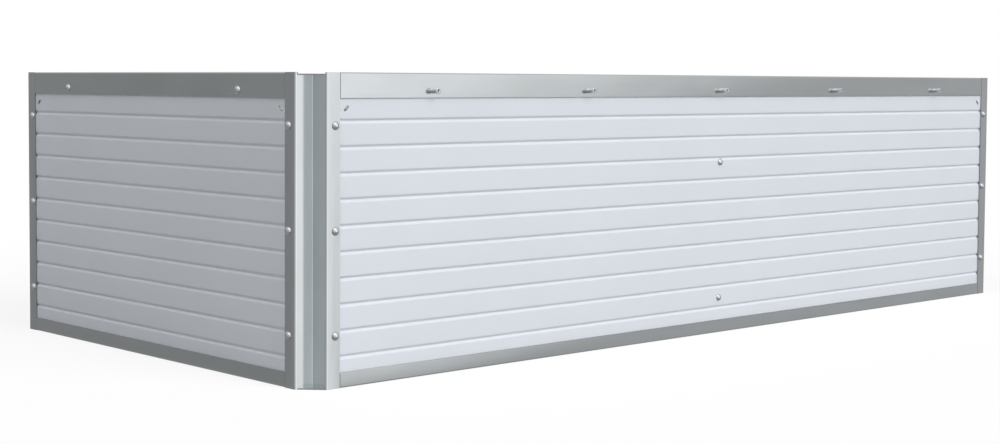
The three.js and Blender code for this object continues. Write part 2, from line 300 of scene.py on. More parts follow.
def polished_stainless():
    """Cold-headed stainless steel, barrel-polished. It reads as small bright mirrors with a slight
    haze, neutral beside the cooler zinc round them."""
    material, tree, shader = new_material("polished_stainless_steel")
    haze = stretched_noise(tree, 3 * MM, 3 * MM, 0).outputs["Fac"]
    tree.links.new(two_tones(tree, haze, "d2d4d6", "dcdedf"), shader.inputs["Base Color"])
    tree.links.new(between(tree, haze, 0.08, 0.13), shader.inputs["Roughness"])
    shader.inputs["Metallic"].default_value = 1
    return material


def plated_steel():
    """Machined steel with a thin plated coat of zinc, tumbled. It reads as a pale grey with a wide,
    soft sheen, lighter than what it stands on."""
    material, tree, shader = new_material("zinc_plated_steel")
    haze = stretched_noise(tree, 3 * MM, 3 * MM, 1).outputs["Fac"]
    tree.links.new(two_tones(tree, haze, "c4c8ca", "cfd3d4"), shader.inputs["Base Color"])
    tree.links.new(between(tree, haze, 0.36, 0.44), shader.inputs["Roughness"])
    shader.inputs["Metallic"].default_value = 1
    return material


def dipped_zinc():
    """Hot-dipped steel, left as it came from the bath. It reads as a dull grey with the patchwork
    of zinc crystals, each with its own shade."""
    material, tree, shader = new_material("hot_dipped_zinc")
    crystal = 9 * MM
    place = add(tree, "ShaderNodeTexCoord")
    cells = add(tree, "ShaderNodeTexVoronoi", {"Vector": place.outputs["Object"], "Scale": 1 / crystal})
    shade = add(tree, "ShaderNodeSeparateColor", {"Color": cells.outputs["Color"]}).outputs["Red"]
    tree.links.new(two_tones(tree, shade, "9da2a4", "b9bdbe", 0.0, 1.0), shader.inputs["Base Color"])
    tree.links.new(between(tree, shade, 0.36, 0.5, 0, 1), shader.inputs["Roughness"])
    shader.inputs["Metallic"].default_value = 1
    return material


zinc_along = [rolled_zinc(f"rolled_zinc_along_{letter}", axis) for axis, letter in enumerate("xyz")]
panel_coating = coil_coating()
panel_back = coil_back_coat()
cut_edge = sheared_edge()
stainless = polished_stainless()
plated = plated_steel()
inner_zinc = dipped_zinc()

# ---------------------------------------------------------------- geometry trees


def new_tree(name, sockets):
    """A geometry tree with named inputs, each [name, kind]; returns it and the inputs' outputs."""
    tree = bpy.data.node_groups.new(name, "GeometryNodeTree")
    face = tree.interface
    face.new_socket("Geometry", in_out="INPUT", socket_type="NodeSocketGeometry")
    for label, kind in sockets:
        face.new_socket(label, in_out="INPUT", socket_type="NodeSocket" + kind)
    face.new_socket("Geometry", in_out="OUTPUT", socket_type="NodeSocketGeometry")
    return tree, add(tree, "NodeGroupInput").outputs


def math_node(tree, operation, first, second=0.0):
    return add(tree, "ShaderNodeMath", {0: first, 1: second}, operation=operation).outputs[0]


def folded_strip(tree, line, given):
    """Gives the middle line of a section its thickness, draws it out along Z and closes it."""
    ends = add(tree, "GeometryNodeCurveEndpointSelection")
    marked = add(tree, "GeometryNodeStoreNamedAttribute",
                 {"Geometry": line, "Name": "strip_edge", "Value": ends.outputs["Selection"]},
                 data_type="BOOLEAN", domain="POINT")
    half = math_node(tree, "MULTIPLY", given["Sheet"], 0.5)
    other = math_node(tree, "MULTIPLY", given["Sheet"], -0.5)
    start = add(tree, "ShaderNodeCombineXYZ", {"X": other})
    end = add(tree, "ShaderNodeCombineXYZ", {"X": half})
    across = add(tree, "GeometryNodeCurvePrimitiveLine",
                 {"Start": start.outputs[0], "End": end.outputs[0]})
    sided = add(tree, "GeometryNodeStoreNamedAttribute",
                {"Geometry": across.outputs[0], "Name": "strip_side",
                 "Value": add(tree, "GeometryNodeInputIndex").outputs[0]},
                data_type="FLOAT", domain="POINT")
    flat = add(tree, "GeometryNodeCurveToMesh",
               {"Curve": marked.outputs[0], "Profile Curve": sided.outputs[0]}).outputs[0]
    offset = add(tree, "ShaderNodeCombineXYZ", {"Z": given["Length"]})
    drawn = add(tree, "GeometryNodeExtrudeMesh",
                {"Mesh": flat, "Offset": offset.outputs[0], "Offset Scale": 1.0, "Individual": False})
    base = add(tree, "GeometryNodeFlipFaces", {"Mesh": flat})
    joined = add(tree, "GeometryNodeJoinGeometry", {"Geometry": base.outputs[0]})
    tree.links.new(drawn.outputs["Mesh"], joined.inputs["Geometry"])
    closed = add(tree, "GeometryNodeMergeByDistance", {"Geometry": joined.outputs[0], "Distance": WELD})
    return closed.outputs[0]


def strip_finish(tree, strip, given):
    """The sheet's finishes on its face and its back, and that of a cut on its ends and edges."""
    faced = add(tree, "GeometryNodeSetMaterial", {"Geometry": strip, "Material": given["Finish"]})
    side = add(tree, "GeometryNodeInputNamedAttribute", {"Name": "strip_side"}, data_type="FLOAT")
    is_back = math_node(tree, "GREATER_THAN", side.outputs[0], NEAR_ONE)
    whole = add(tree, "GeometryNodeSetMaterial", {
        "Geometry": faced.outputs[0], "Selection": is_back, "Material": given["Back Finish"]})
    normal = add(tree, "GeometryNodeInputNormal").outputs[0]
    direction = add(tree, "ShaderNodeSeparateXYZ", {"Vector": normal})
    upright = math_node(tree, "ABSOLUTE", direction.outputs["Z"])
    is_end = math_node(tree, "GREATER_THAN", upright, NEAR_ONE)
    edge = add(tree, "GeometryNodeInputNamedAttribute", {"Name": "strip_edge"}, data_type="BOOLEAN")
    cut = add(tree, "FunctionNodeBooleanMath", {0: edge.outputs[0], 1: is_end}, operation="OR")
    edged = add(tree, "GeometryNodeSetMaterial", {
        "Geometry": whole.outputs[0], "Selection": cut.outputs[0], "Material": given["Cut Finish"]})
    bare = edged.outputs[0]
    for mark in ("strip_edge", "strip_side"):
        bare = add(tree, "GeometryNodeRemoveAttribute", {"Geometry": bare, "Name": mark}).outputs[0]
    real = add(tree, "GeometryNodeRealizeInstances", {"Geometry": bare})
    add(tree, "NodeGroupOutput", {"Geometry": real.outputs[0]})


STRIP_SOCKETS = [
    ("Sheet", "Float"), ("Bend Radius", "Float"), ("Bend Steps", "Int"), ("Length", "Float"),
    ("Finish", "Material"), ("Back Finish", "Material"), ("Cut Finish", "Material"),
]


def bent_line(tree, given):
    """The polyline that comes in, with its corners rounded as bends."""
    line = add(tree, "GeometryNodeMeshToCurve", {"Mesh": given["Geometry"]})
    return add(tree, "GeometryNodeFilletCurve", {
        "Curve": line.outputs[0], "Count": given["Bend Steps"], "Radius": given["Bend Radius"],
        "Limit Radius": True}, mode="POLY").outputs[0]


def folded_sheet_tree():
    """A sheet folded along the corners of a polyline, with round bends."""
    tree, given = new_tree("Folded sheet", STRIP_SOCKETS)
    strip_finish(tree, folded_strip(tree, bent_line(tree, given), given), given)
    return tree


def grooved_panel_tree():
    """A folded sheet whose face has round-bottomed V grooves at an even pitch, and between them
    ribs with a slight crown."""
    tree, given = new_tree("Grooved panel", STRIP_SOCKETS + [
        ("Face Depth", "Float"), ("First Groove", "Float"), ("Groove Pitch", "Float"),
        ("Groove Count", "Int"), ("Groove Height", "Float"), ("Groove Depth", "Float"),
        ("Rib Crown", "Float"), ("Profile Step", "Float")])
    fine = add(tree, "GeometryNodeResampleCurve", {
        "Curve": bent_line(tree, given), "Length": given["Profile Step"]}, mode="LENGTH")
    position = add(tree, "GeometryNodeInputPosition").outputs[0]
    place = add(tree, "ShaderNodeSeparateXYZ", {"Vector": position})
    # The height in pitches from the lowest groove, and from the nearest groove
    steps = math_node(tree, "DIVIDE",
                      math_node(tree, "SUBTRACT", place.outputs["Y"], given["First Groove"]),
                      given["Groove Pitch"])
    last = math_node(tree, "SUBTRACT", given["Groove Count"], 1.0)
    nearest = math_node(tree, "MINIMUM", last,
                        math_node(tree, "MAXIMUM", math_node(tree, "ROUND", steps), 0.0))
    away = math_node(tree, "ABSOLUTE", math_node(tree, "SUBTRACT", steps, nearest))
    groove_share = math_node(tree, "DIVIDE", given["Groove Height"], given["Groove Pitch"])
    turn = math_node(tree, "MULTIPLY", math_node(tree, "DIVIDE", away, groove_share), 2 * math.pi)
    wave = math_node(tree, "COSINE", math_node(tree, "MINIMUM", turn, math.pi))
    bowl = math_node(tree, "MULTIPLY", math_node(tree, "ADD", wave, 1.0), 0.5)
    shaped = math_node(tree, "POWER", bowl, GROOVE_ROUNDING)
    depth = math_node(tree, "MULTIPLY", shaped, given["Groove Depth"])
    from_rib = math_node(tree, "MULTIPLY", math_node(tree, "MINIMUM", away, 0.5), 2.0)
    edge = math_node(tree, "SUBTRACT", from_rib, 1.0)
    crown = math_node(tree, "MULTIPLY", math_node(tree, "MULTIPLY", edge, edge), given["Rib Crown"])
    moved = add(tree, "ShaderNodeCombineXYZ", {"X": math_node(tree, "ADD", depth, crown)})
    on_face = add(tree, "FunctionNodeCompare",
                  {0: place.outputs["X"], 1: given["Face Depth"], "Epsilon": WELD},
                  data_type="FLOAT", operation="EQUAL")
    grooved = add(tree, "GeometryNodeSetPosition", {
        "Geometry": fine.outputs[0], "Selection": on_face.outputs[0], "Offset": moved.outputs[0]})
    strip_finish(tree, folded_strip(tree, grooved.outputs[0], given), given)
    return tree


def turned_parts_tree():
    """A profile turned about the Y axis, with flats and a thread where its points ask for them,
    set on every point of the mesh, facing as that point says."""
    tree, given = new_tree("Turned parts", [
        ("Profile", "Object"), ("Sides", "Int"), ("Thread Pitch", "Float"), ("Seed", "Int"),
        ("Finish", "Material")])
    profile = add(tree, "GeometryNodeObjectInfo", {"Object": given["Profile"]}).outputs["Geometry"]
    rows = add(tree, "GeometryNodeAttributeDomainSize", {"Geometry": profile}).outputs["Point Count"]
    columns = math_node(tree, "ADD", given["Sides"], 1.0)
    grid = add(tree, "GeometryNodeMeshGrid", {
        "Size X": 1.0, "Size Y": 1.0, "Vertices X": columns, "Vertices Y": rows})
    index = add(tree, "GeometryNodeInputIndex").outputs[0]
    row = math_node(tree, "MODULO", index, rows)
    column = math_node(tree, "DIVIDE", math_node(tree, "SUBTRACT", index, row), rows)

    def sampled(value, data_type):
        return add(tree, "GeometryNodeSampleIndex",
                   {"Geometry": profile, "Value": value, "Index": row},
                   data_type=data_type, domain="POINT").outputs[0]

    def attribute(name):
        found = add(tree, "GeometryNodeInputNamedAttribute", {"Name": name}, data_type="FLOAT")
        return sampled(found.outputs[0], "FLOAT")

    point = add(tree, "ShaderNodeSeparateXYZ", {
        "Vector": sampled(add(tree, "GeometryNodeInputPosition").outputs[0], "FLOAT_VECTOR")})
    radius, depth = point.outputs["X"], point.outputs["Y"]
    share = math_node(tree, "DIVIDE", column, given["Sides"])
    angle = math_node(tree, "MULTIPLY", share, 2 * math.pi)
    # Six flats: the radius stops at the distance to the nearest flat
    sixths = math_node(tree, "MULTIPLY", share, 6.0)
    sixth = math_node(tree, "SUBTRACT", math_node(tree, "FRACT", sixths), 0.5)
    slant = math_node(tree, "COSINE", math_node(tree, "MULTIPLY", sixth, math.pi / 3))
    flat = math_node(tree, "DIVIDE", attribute("flat"), slant)
    round_radius = math_node(tree, "MINIMUM", radius, flat)
    # The thread falls and rises once in each pitch and moves on one pitch in each turn
    phase = math_node(tree, "FRACT", math_node(
        tree, "SUBTRACT", math_node(tree, "DIVIDE", depth, given["Thread Pitch"]), share))
    swing = math_node(tree, "SUBTRACT", math_node(tree, "MULTIPLY", phase, 2.0), 1.0)
    cut = math_node(tree, "MULTIPLY", math_node(tree, "ABSOLUTE", swing), attribute("thread"))
    cut_radius = math_node(tree, "SUBTRACT", round_radius, cut)
    place = add(tree, "ShaderNodeCombineXYZ", {
        "X": math_node(tree, "MULTIPLY", cut_radius, math_node(tree, "COSINE", angle)),
        "Y": depth,
        "Z": math_node(tree, "MULTIPLY", cut_radius, math_node(tree, "SINE", angle))})
    turned = add(tree, "GeometryNodeSetPosition", {
        "Geometry": grid.outputs["Mesh"], "Position": place.outputs[0]})
    outward = add(tree, "GeometryNodeFlipFaces", {"Mesh": turned.outputs[0]})
    closed = add(tree, "GeometryNodeMergeByDistance", {"Geometry": outward.outputs[0], "Distance": WELD})
    spin = add(tree, "FunctionNodeRandomValue", {
        "Seed": given["Seed"], "Max": 2 * math.pi}, data_type="FLOAT")
    facing = add(tree, "GeometryNodeInputNamedAttribute", {"Name": "facing"}, data_type="FLOAT")
    rotation = add(tree, "ShaderNodeCombineXYZ", {"Y": spin.outputs[1], "Z": facing.outputs[0]})
    copies = add(tree, "GeometryNodeInstanceOnPoints", {
        "Points": given["Geometry"], "Instance": closed.outputs[0], "Rotation": rotation.outputs[0]})
    real = add(tree, "GeometryNodeRealizeInstances", {"Geometry": copies.outputs[0]})
    bare = add(tree, "GeometryNodeRemoveAttribute", {"Geometry": real.outputs[0], "Name": "facing"})
    coated = add(tree, "GeometryNodeSetMaterial", {
        "Geometry": bare.outputs[0], "Material": given["Finish"]})
    add(tree, "NodeGroupOutput", {"Geometry": coated.outputs[0]})
    return tree


folded_sheet = folded_sheet_tree()
grooved_panel = grooved_panel_tree()
turned_parts = turned_parts_tree()

# ---------------------------------------------------------------- meshes


def linked(name, mesh):
    made = bpy.data.objects.new(name, mesh)
    bpy.context.scene.collection.objects.link(made)
    return made


def evaluated_mesh(holder):
    graph = bpy.context.evaluated_depsgraph_get()
    mesh = bpy.data.meshes.new_from_object(holder.evaluated_get(graph))
    bpy.data.objects.remove(holder)
    return mesh


def grown(tree, mesh, values):
    """The plain mesh that a tree makes of a mesh, with its named inputs set."""
    holder = linked("holder", mesh)
    modifier = holder.modifiers.new(tree.name, "NODES")
    modifier.node_group = tree
    for item in tree.interface.items_tree:
        if item.in_out == "INPUT" and item.name in values:
            modifier[item.identifier] = values[item.name]
    made = evaluated_mesh(holder)
    if made.materials[0] is None:
        made.materials.pop(index=0)
    return made


def polyline(points):
    mesh = bpy.data.meshes.new("line")
    corners = [(x, y, 0) for x, y in points]
    mesh.from_pydata(corners, [(i, i + 1) for i in range(len(corners) - 1)], [])
    return mesh


def carved(mesh, cutters, operation="DIFFERENCE"):
    """The mesh less every cutter, or joined with every cutter; cuts get the cutter's finish."""
    for cutter in cutters:
        holder, tool = linked("holder", mesh), linked("tool", cutter)
        modifier = holder.modifiers.new("carve", "BOOLEAN")
        modifier.operation = operation
        modifier.solver = "MANIFOLD"
        modifier.material_mode = "TRANSFER"
        modifier.object = tool
        mesh = evaluated_mesh(holder)
        bpy.data.objects.remove(tool)
    return mesh


def solid(name, fill, material):
    """A mesh that a function fills through bmesh."""
    mesh = bpy.data.meshes.new(name)
    work = bmesh.new()
    fill(work)
    work.to_mesh(mesh)
    work.free()
    mesh.materials.append(material)
    return mesh


def block(low, high, material=cut_edge):
    middle = [(a + b) / 2 for a, b in zip(low, high)]
    size = [b - a for a, b in zip(low, high)]
    place = Matrix.Translation(middle) @ Matrix.Diagonal((*size, 1))
    return solid("block", lambda work: bmesh.ops.create_cube(work, size=1, matrix=place), material)


def bores(places, low, high):
    """Round cutters along Y, each at [along, height], as one mesh."""
    sizes = {"segments": BORE_SIDES, "radius1": BORE_RADIUS, "radius2": BORE_RADIUS, "depth": high - low}

    def fill(work):
        for x, z in places:
            place = Matrix.Translation((x, (low + high) / 2, z)) @ Matrix.Rotation(math.pi / 2, 4, "X")
            bmesh.ops.create_cone(work, cap_ends=True, matrix=place, **sizes)

    return solid("bores", fill, cut_edge)


def prism(name, outline, offset, material=cut_edge):
    """A closed solid: a flat outline of points, drawn out by an offset."""
    def fill(work):
        work.faces.new([work.verts.new(point) for point in outline])
        drawn = bmesh.ops.extrude_face_region(work, geom=work.faces[:])
        moved = [item for item in drawn["geom"] if isinstance(item, bmesh.types.BMVert)]
        bmesh.ops.translate(work, vec=offset, verts=moved)
        bmesh.ops.recalc_face_normals(work, faces=work.faces[:])

    return solid(name, fill, material)


def slot_cutter(x, z):
    """An oblique slot with round ends through a panel, rising towards the wall's middle."""
    radius = SLOT_WIDTH / 2
    half = SLOT_LENGTH / 2 - radius
    turn = Matrix.Translation((x, 0, z)) @ Matrix.Rotation(math.copysign(SLOT_TILT, x), 4, "Y")
    outline = []
    for side in (1, -1):
        for step in range(SLOT_STEPS + 1):
            angle = math.pi * (step / SLOT_STEPS - 0.5)
            along = side * (half + radius * math.cos(angle))
            across = side * radius * math.sin(angle)
            outline.append(turn @ Vector((along, PANEL_FACE - CUT_MARGIN, across)))
    return prism("slot", outline, (0, PANEL_SHEET + 2 * CUT_MARGIN, 0))


def strip(corners, sheet, length, finish, tree=folded_sheet, **more):
    """A folded strip whose section is drawn as [x, y] and drawn out along Z from 0."""
    values = {"Sheet": sheet, "Bend Radius": INSIDE_BEND + sheet / 2, "Bend Steps": BEND_STEPS,
              "Length": length, "Finish": finish, "Back Finish": finish, "Cut Finish": cut_edge, **more}
    return grown(tree, polyline(corners), values)


def laid_along(mesh, length):
    """Turns a section of [depth, height] drawn along Z to lie along X, with its middle at 0."""
    mesh.transform(Matrix(((0, 0, 1, -length / 2), (1, 0, 0, 0), (0, 1, 0, 0), (0, 0, 0, 1))))
    return mesh


def finished(name, mesh, nodes, place=Matrix.Identity(4)):
    """A piece of the bed: its mesh put in place, smooth over its bends, standing for CAD nodes."""
    mesh.transform(place)
    mesh.shade_smooth()
    mesh.set_sharp_from_angle(angle=SHARP_ANGLE)
    mesh.name = name
    piece = linked(name, mesh)
    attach(piece, "root")
    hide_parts(*nodes)
    return piece


# ---------------------------------------------------------------- corner posts


def post_bolt_heights():
    boxes = [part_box(f"front_left_post_bolt_front_{level}") for level in ("low", "middle", "high")]
    return [(low.z + high.z) / 2 for low, high in boxes]


def post_bolt_reach():
    """How far the bolts of a flange stand from the post's corner, along the wall."""
    low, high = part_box("front_left_post_bolt_front_low")
    return (low.x + high.x) / 2 - post_low.x


def notch_reach(away):
    """How deep the middle of the sheet lies in the notch, so far from a flange's face."""
    face = POST_SHEET / 2
    return NOTCH_DEPTH + face - (away - face) * math.tan(NOTCH_LEAN)


def notch_corner():
    """The middle of the sheet at the notch's inner corner, where both leaning faces meet."""
    face = POST_SHEET / 2
    lean = math.tan(NOTCH_LEAN)
    return (NOTCH_DEPTH + face + face * lean) / (1 + lean)


def notch_tab(bottom):
    """The tab folded across the notch, with its own thickness and a sheared slanting edge."""
    end, inner = notch_reach(POST_BEND), notch_corner()
    outline = [(end, POST_BEND, bottom), (inner, inner, bottom), (POST_BEND, end, bottom)]
    tab = prism("tab", outline, (0, 0, POST_SHEET), zinc_along[2])
    tab.materials.append(cut_edge)
    for face in tab.polygons:
        face.material_index = int(abs(face.normal.z) < NEAR_ONE)
    return tab


def corner_post():
    face = POST_SHEET / 2
    corner, inner = NOTCH_DEPTH + face, notch_corner()
    section = [(POST_EDGE, face), (corner, face), (inner, inner), (face, corner), (face, POST_EDGE)]
    post = strip(section, POST_SHEET, BED_HEIGHT, zinc_along[2])
    notch_top = BED_HEIGHT - POST_STEP
    step_end = POST_REACH + CUT_MARGIN
    step = block((POST_BEND, POST_BEND, notch_top), (step_end, step_end, BED_HEIGHT + CUT_MARGIN))
    holes = [(post_bolt_reach(), height) for height in post_bolt_heights()]
    right = bores(holes, -CUT_MARGIN, POST_BEND)
    left = right.copy()
    left.transform(Matrix(((0, 1, 0, 0), (1, 0, 0, 0), (0, 0, 1, 0), (0, 0, 0, 1))))
    left.flip_normals()
    post = carved(post, [step, right, left])
    return carved(post, [notch_tab(0), notch_tab(notch_top - POST_SHEET)], "UNION")


# ---------------------------------------------------------------- wall pieces


def wall_holes(wall):
    """Where bolts pass through a wall's sheets, as [along, height]."""
    along = wall["span"] / 2 - post_bolt_reach()
    holes = [(side * along, height) for side in (-1, 1) for height in post_bolt_heights()]
    into_wall = wall_frame(wall).inverted()
    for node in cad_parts:
        if node.startswith((f"{wall['name']}_tie_screw", f"{wall['name']}_cap_bolt")):
            low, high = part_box(node)
            middle = into_wall @ ((low + high) / 2)
            holes.append((middle.x, middle.z))
    return holes


def end_trims(wall):
    """Slanting cutters that nip the ends of a cap and of the panel's fold behind the post, where
    the photo shows nothing over the notch's lowered top."""
    low = BED_HEIGHT - CAP_INNER_LEG - CUT_MARGIN
    end = wall["span"] / 2 - CHANNEL_INSET + CUT_MARGIN
    depth = CHANNEL_DEPTH + CUT_MARGIN
    corners = [(end, END_TRIM_START), (end, depth), (end - END_TRIM_LENGTH, depth)]
    offset = (0, 0, CAP_INNER_LEG + 2 * CUT_MARGIN)
    return [prism("trim", [(side * x, y, low) for x, y in corners], offset) for side in (-1, 1)]


def wall_panel(wall):
    middle = PANEL_FACE + PANEL_SHEET / 2
    inner = PANEL_DEPTH - PANEL_SHEET / 2
    top = panel_high.z - PANEL_SHEET / 2
    bottom = panel_low.z + PANEL_SHEET / 2
    section = [(inner, bottom + PANEL_LIP), (inner, bottom), (middle, bottom), (middle, top),
               (inner, top), (inner, top - PANEL_LIP)]
    length = wall["span"] - 2 * PANEL_INSET
    sheet = strip(section, PANEL_SHEET, length, panel_coating, grooved_panel, **{
        "Face Depth": middle, "First Groove": FIRST_GROOVE, "Groove Pitch": GROOVE_PITCH,
        "Groove Count": GROOVE_COUNT, "Groove Height": GROOVE_HEIGHT, "Groove Depth": GROOVE_DEPTH,
        "Rib Crown": RIB_CROWN, "Profile Step": PROFILE_STEP, "Back Finish": panel_back})
    holes = bores(wall_holes(wall), -CUT_MARGIN, GROOVE_BACK + CUT_MARGIN)
    along = wall["span"] / 2 - POST_EDGE - SLOT_INSET
    height = BED_HEIGHT - CAP_HEIGHT - SLOT_DROP
    slots = [slot_cutter(-along, height), slot_cutter(along, height)]
    return carved(laid_along(sheet, length), [holes, *slots, *end_trims(wall)])


def wall_channel(section, wall, axis):
    """A cap or a rail, which runs behind the post flanges with its outer leg cut short."""
    length = wall["span"] - 2 * CHANNEL_INSET
    channel = laid_along(strip(section, CHANNEL_SHEET, length, zinc_along[axis]), length)
    end = wall["span"] / 2
    legs = []
    for side in (-1, 1):
        ends = sorted([side * (end - POST_EDGE - wall["joint"]), side * end])
        legs.append(block((ends[0], -CUT_MARGIN, -CUT_MARGIN),
                          (ends[1], PANEL_FACE, BED_HEIGHT + CUT_MARGIN)))
    return carved(channel, legs)


def top_cap(wall, axis):
    face = CHANNEL_SHEET / 2
    inner = CHANNEL_DEPTH - face
    top = BED_HEIGHT - face
    section = [(face, BED_HEIGHT - CAP_HEIGHT), (face, top), (inner, top),
               (inner, BED_HEIGHT - CAP_INNER_LEG)]
    cap = carved(wall_channel(section, wall, axis), end_trims(wall))
    high_holes = [place for place in wall_holes(wall) if place[1] > BED_HEIGHT - CAP_HEIGHT]
    if not high_holes:
        return cap
    return carved(cap, [bores(high_holes, -CUT_MARGIN, CHANNEL_SHEET + CUT_MARGIN)])


def bottom_rail(wall, axis):
    face = CHANNEL_SHEET / 2
    inner = CHANNEL_DEPTH - face
    section = [(face, RAIL_HEIGHT), (face, face), (inner, face), (inner, RAIL_INNER_LEG)]
    return wall_channel(section, wall, axis)


def wall_stiffener(wall):
    web = STIFFENER_FACE + CHANNEL_SHEET / 2
    leg = stiffener_high.x - CHANNEL_SHEET / 2
    section = [(-leg, STIFFENER_EDGE), (-leg, web), (leg, web), (leg, STIFFENER_EDGE)]
    height = stiffener_high.z - stiffener_low.z
    channel = strip(section, CHANNEL_SHEET, height, inner_zinc)
    channel.transform(Matrix.Translation((0, 0, stiffener_low.z)))
    holes = [place for place in wall_holes(wall) if abs(place[0]) < leg]
    return carved(channel, [bores(holes, 0, STIFFENER_EDGE)])


# ---------------------------------------------------------------- turned pieces


def row(radius, depth, flat=1.0, thread=0.0):
    """One point of a turned profile. Its flats are that far from the axis, so 1 m means none."""
    return {"radius": radius, "depth": depth, "flat": flat, "thread": thread}


def turned(rows, places, finish, seed):
    """One mesh with the turned profile at every place, each [point, turn of its wall]."""
    profile_mesh = polyline([(item["radius"], item["depth"]) for item in rows])
    for name in ("flat", "thread"):
        values = profile_mesh.attributes.new(name, "FLOAT", "POINT")
        values.data.foreach_set("value", [item[name] for item in rows])
    points = bpy.data.meshes.new("points")
    points.from_pydata([place for place, _ in places], [], [])
    facing = points.attributes.new("facing", "FLOAT", "POINT")
    facing.data.foreach_set("value", [turn for _, turn in places])
    profile = linked("profile", profile_mesh)
    mesh = grown(turned_parts, points, {
        "Profile": profile, "Sides": TURNED_SIDES, "Thread Pitch": THREAD_PITCH, "Seed": seed,
        "Finish": finish})
    bpy.data.objects.remove(profile)
    return mesh


def dome(seat):
    """A domed head from its middle to its seat, with a low upright edge."""
    height = HEAD_HEIGHT - HEAD_EDGE
    sphere = (HEAD_RADIUS ** 2 + height ** 2) / (2 * height)
    spread = math.asin(HEAD_RADIUS / sphere)
    top = seat - HEAD_HEIGHT
    rows = [row(0, top)]
    for step in range(1, DOME_STEPS + 1):
        angle = spread * step / DOME_STEPS
        rows.append(row(sphere * math.sin(angle), top + sphere * (1 - math.cos(angle))))
    return rows + [row(HEAD_RADIUS, seat), row(BOLT_RADIUS, seat)]


def threaded_end(start, end):
    """A threaded stretch that runs out in a point's chamfer."""
    steps = round((end - start) / THREAD_PITCH * THREAD_ROWS)
    rows = [row(BOLT_RADIUS, start + (end - start) * step / steps, thread=THREAD_DEPTH)
            for step in range(steps + 1)]
    return rows + [row(BOLT_RADIUS - 2 * THREAD_DEPTH, end), row(0, end)]


def nut(start):
    """A six-sided nut with chamfered corners, from its seat to its far face."""
    flat = NUT_FLATS / 2
    corner = flat / math.cos(math.pi / 6)
    face = flat * NUT_FACE
    side = [(face + (corner - face) * step / CHAMFER_STEPS, NUT_CHAMFER * step / CHAMFER_STEPS)
            for step in range(CHAMFER_STEPS + 1)]
    near = [row(radius, start + rise, flat) for radius, rise in side]
    far = [row(radius, start + NUT_HEIGHT - rise, flat) for radius, rise in reversed(side)]
    return near + far


def sheet_bolt():
    """A bolt through two sheets, and its nut with the collar that keeps it clear of the grooves."""
    nut_seat = GROOVE_BACK + SEAT_GAP
    nut_end = nut_seat + NUT_HEIGHT
    collar = PANEL_BACK + SEAT_GAP
    return [*dome(-SEAT_GAP), row(BOLT_RADIUS, collar), row(COLLAR_RADIUS, collar),
            row(COLLAR_RADIUS, nut_seat), *nut(nut_seat), *threaded_end(nut_end, nut_end + BOLT_END)]


def tie_screw():
    low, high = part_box("front_tie_screw_lower")
    seat = low.y + BED_WIDTH / 2 + HEAD_HEIGHT
    end = high.y + BED_WIDTH / 2
    return [*dome(seat), *threaded_end(min(STIFFENER_EDGE, end - SCREW_THREAD), end)]


def cap_stud():
    """A headed stud with a six-sided socket in its end, pressed into the cap's outer leg."""
    end = STUD_END
    neck = end + STUD_HEAD_HEIGHT
    flat = SOCKET_FLATS / 2
    corner = flat / math.cos(math.pi / 6)
    seat = STUD_SHANK + STUD_FILLET
    soft = STUD_CHAMFER / 3
    back = CHANNEL_SHEET / 2
    return [row(0, end + SOCKET_DEPTH), row(corner, end + SOCKET_DEPTH, flat),
            row(corner, end + SOCKET_CHAMFER, flat), row(corner + SOCKET_CHAMFER, end),
            row(STUD_HEAD - STUD_CHAMFER, end), row(STUD_HEAD - soft, end + soft),
            row(STUD_HEAD, end + STUD_CHAMFER), row(STUD_HEAD, neck), row(STUD_SHANK, neck),
            row(STUD_SHANK, -STUD_FILLET), row(seat, 0), row(seat, back), row(0, back)]


def cross_tie():
    """A tube with a bush in each end, threaded in the real tie and drawn here with a plain bore."""
    bush = TIE_END - TIE_BUSH
    inner = TIE_RADIUS - TIE_WALL
    rim, face = TIE_RADIUS - TIE_CHAMFER, TIE_END - TIE_CHAMFER
    return [row(BORE_RADIUS, -TIE_END), row(rim, -TIE_END), row(TIE_RADIUS, -face),
            row(TIE_RADIUS, face), row(rim, TIE_END), row(BORE_RADIUS, TIE_END),
            row(BORE_RADIUS, bush), row(inner, bush), row(inner, -bush), row(BORE_RADIUS, -bush),
            row(BORE_RADIUS, -TIE_END)]


def wall_of(node):
    """The wall that a fastener is in: a post bolt names it after its post, the others first."""
    named = node.split("_post_bolt_")[-1]
    return next(wall for wall in WALLS if named.startswith(wall["name"]))


def places_of(nodes):
    """Where each fastener meets the outer face of its wall, and the turn of that wall."""
    places = []
    for node in nodes:
        low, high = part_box(node)
        wall = wall_of(node)
        to_bed = wall_frame(wall)
        middle = to_bed.inverted() @ ((low + high) / 2)
        places.append((to_bed @ Vector((middle.x, 0, middle.z)), wall["turn"] * math.pi / 2))
    return places


# ---------------------------------------------------------------- the bed

for quarters, corner in enumerate(CORNERS):
    finished(f"{corner}_corner", corner_post(), [f"{corner}_post"], corner_frame(quarters))

for wall in WALLS:
    place = wall_frame(wall)
    name = wall["name"]
    axis = wall["turn"] % 2
    finished(f"{name}_wall_sheet", wall_panel(wall), [f"{name}_panel"], place)
    finished(f"{name}_top_cap", top_cap(wall, axis), [f"{name}_cap"], place)
    finished(f"{name}_bottom_rail", bottom_rail(wall, axis), [f"{name}_rail"], place)

for wall in LONG_WALLS:
    name = wall["name"]
    finished(f"{name}_middle_channel", wall_stiffener(wall), [f"{name}_stiffener"],
             wall_frame(wall))

post_bolts = sorted(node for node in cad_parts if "_post_bolt_" in node)
cap_bolts = sorted(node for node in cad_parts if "_cap_bolt_" in node)
tie_screws = sorted(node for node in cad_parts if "_tie_screw_" in node)
ties = ["tie_lower", "tie_upper"]

